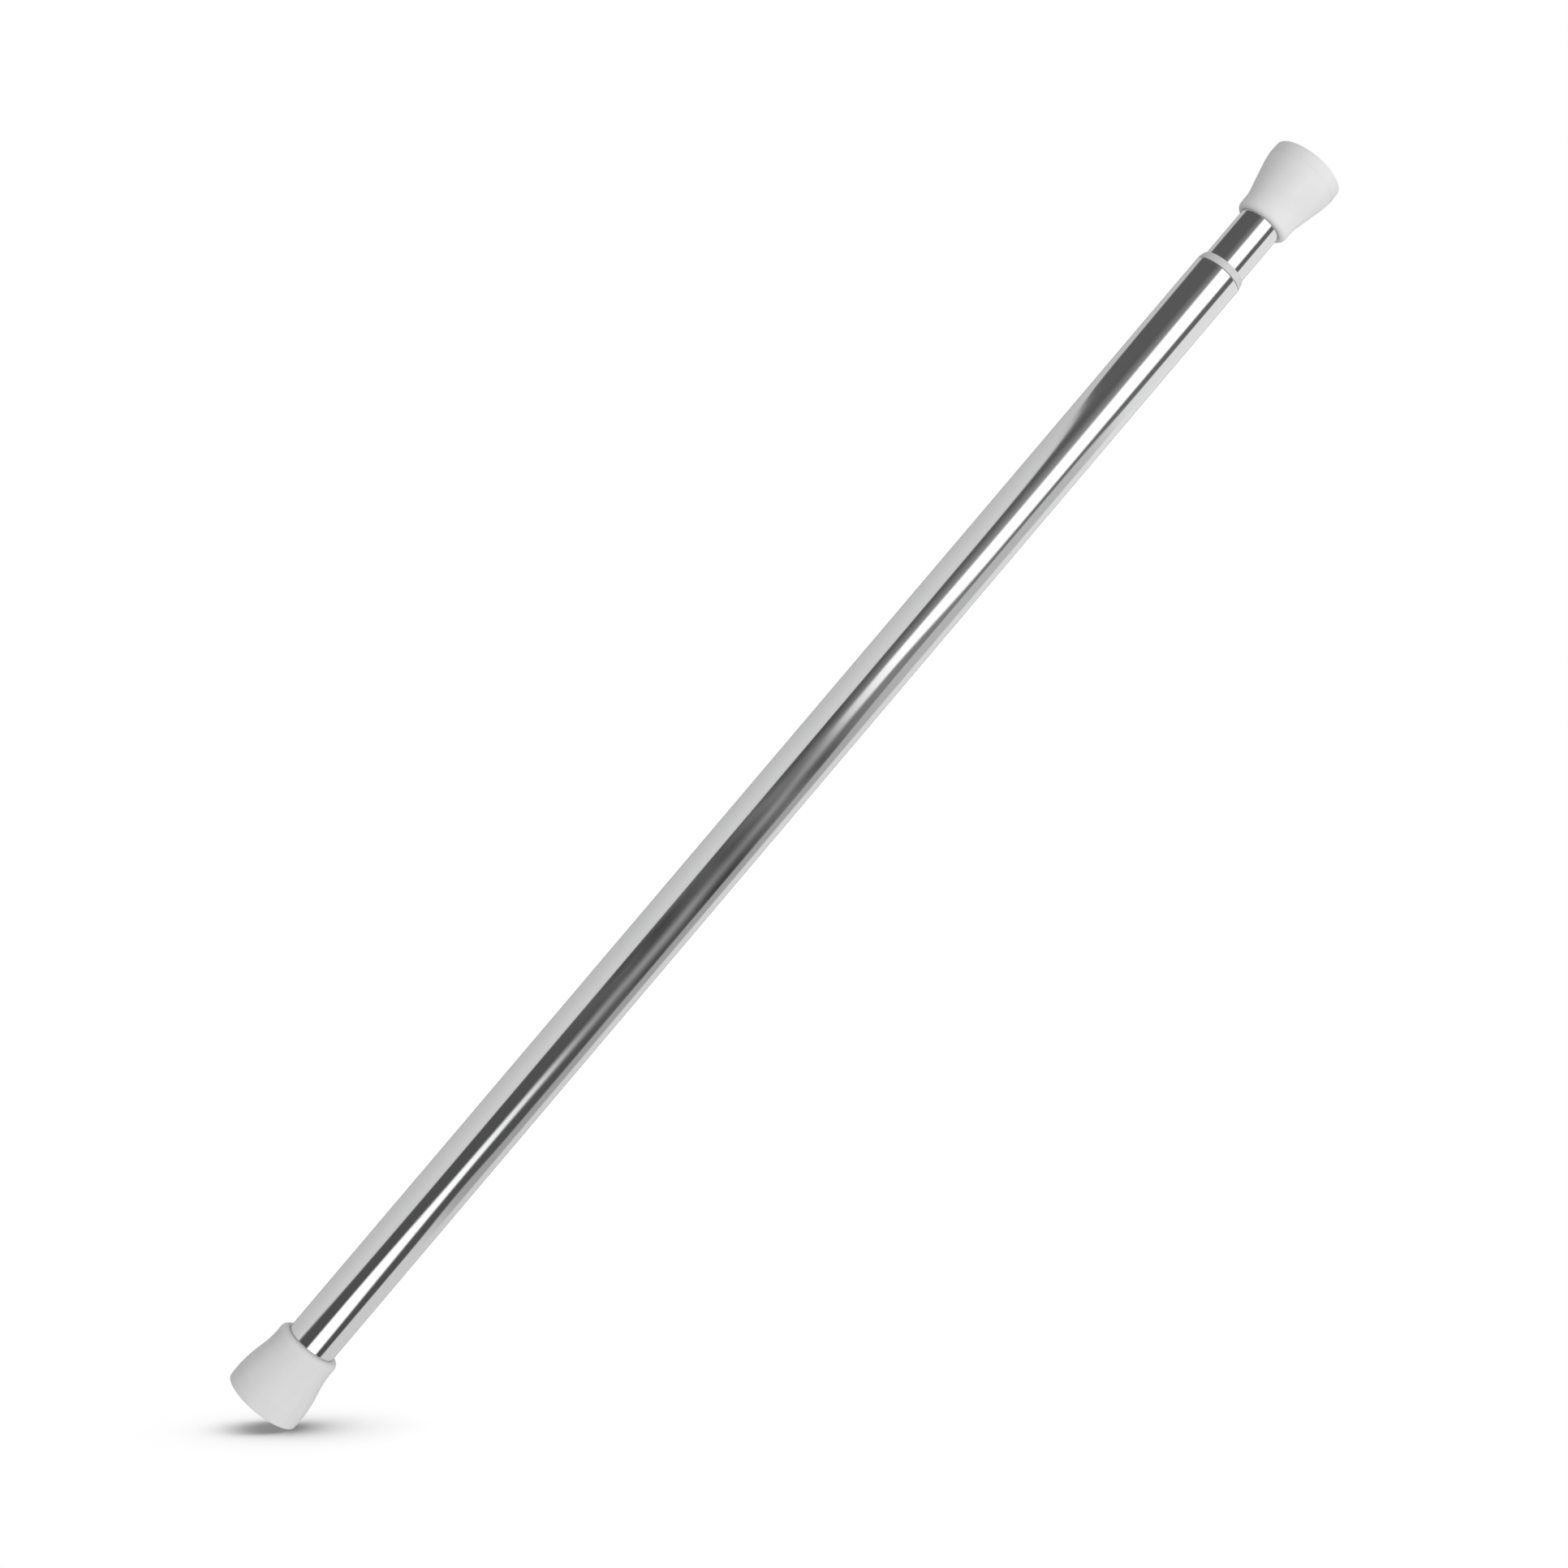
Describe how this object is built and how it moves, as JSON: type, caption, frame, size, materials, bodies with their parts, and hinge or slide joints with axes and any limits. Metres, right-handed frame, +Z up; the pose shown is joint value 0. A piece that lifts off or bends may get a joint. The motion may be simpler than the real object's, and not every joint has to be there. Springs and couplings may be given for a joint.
{
  "type": "pull up bar",
  "caption": "Telescoping doorway pull-up bar: chromed tubes, a flared rubber foot on each end, and an inner screw that extends the bar when the outer tube is twisted.",
  "frame": {"origin": "centre of the left foot's flat face, on the bar's axis", "axes": "+X along the bar from the left foot to the right foot, which slides out along +X; +Z up as the bar is used"},
  "size_m": [0.979, 0.0498, 0.0498],
  "materials": {
    "chrome_tube": "mirror polished chrome plate",
    "foot_rubber": "matte pale grey rubber",
    "collar_plastic": "satin pale grey plastic",
    "plug_plastic": "matte black moulded plastic",
    "nylon": "natural nylon",
    "zinc_steel": "bright zinc plate",
    "spindle_steel": "rolled thread, lightly oiled"
  },
  "bodies": {
    "fixed_foot": {"left_foot_boot": "foot_rubber", "left_pressure_disc": "zinc_steel", "left_thrust_washer": "nylon"},
    "outer_tube": {"outer_tube": "chrome_tube", "left_swivel_bolt": "zinc_steel", "left_end_plug": "plug_plastic", "plug_set_screw_1": "zinc_steel", "plug_set_screw_2": "zinc_steel", "spindle": "spindle_steel", "spindle_pin": "zinc_steel", "mouth_collar": "collar_plastic", "spindle_end_guide": "nylon", "stop_washer": "zinc_steel", "spindle_stop_nut": "zinc_steel"},
    "inner_tube": {"inner_tube": "chrome_tube", "drive_nut": "nylon", "nut_rivet_1": "zinc_steel", "nut_rivet_2": "zinc_steel", "right_end_plug": "plug_plastic", "right_plug_screw_1": "zinc_steel", "right_plug_screw_2": "zinc_steel", "right_pressure_disc": "zinc_steel", "right_foot_bolt": "zinc_steel", "right_foot_boot": "foot_rubber"}
  },
  "joints": [
    {"name": "outer_tube_twist", "type": "hinge", "parent": "fixed_foot", "child": "outer_tube", "pos_m": [0.0124, 0, 0], "axis": [-1, 0, 0], "range_deg": [-1500, 11250]},
    {"name": "inner_tube_slide", "type": "slide", "parent": "fixed_foot", "child": "inner_tube", "axis": [1, 0, 0], "range_m": [-0.0334, 0.2501]}
  ],
  "couplings": [
    {"joint": "inner_tube_slide", "follows": "outer_tube_twist", "m_per_rad": 0.0012732}
  ]
}
